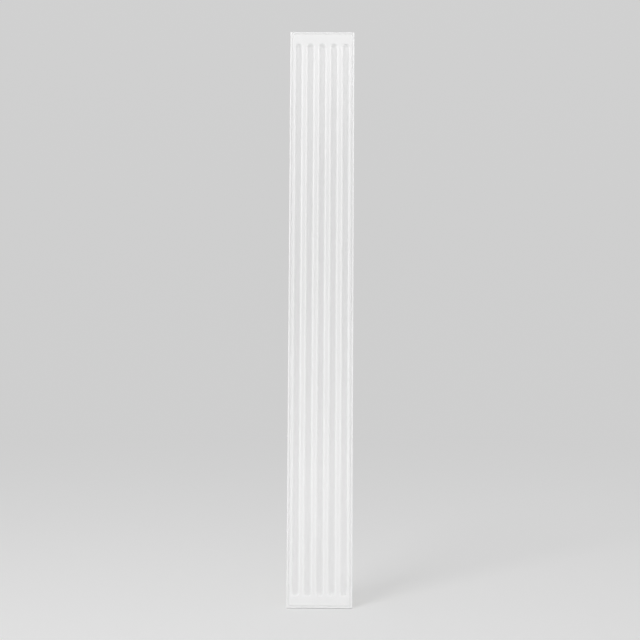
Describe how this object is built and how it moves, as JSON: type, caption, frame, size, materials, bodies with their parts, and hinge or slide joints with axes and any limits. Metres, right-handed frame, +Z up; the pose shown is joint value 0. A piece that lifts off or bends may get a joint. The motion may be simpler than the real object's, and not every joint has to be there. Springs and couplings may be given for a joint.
{
  "type": "pilaster shaft",
  "caption": "Flat moulded pilaster shaft with round-ended flutes down its front, a quirk and bead round the front edges, and a plain flat back for fixing to a wall.",
  "frame": {"origin": "middle of the flat back face, where the shaft meets the wall", "axes": "+Z up the shaft, +Y into the wall, so the fluted front looks along -Y, and +X to the right seen from the front"},
  "size_m": [0.224, 0.024, 2],
  "materials": {
    "white_primer": "matt to silky white primer on rigid moulded foam"
  },
  "bodies": {
    "root": {"pilaster_shaft": "white_primer"}
  },
  "joints": []
}
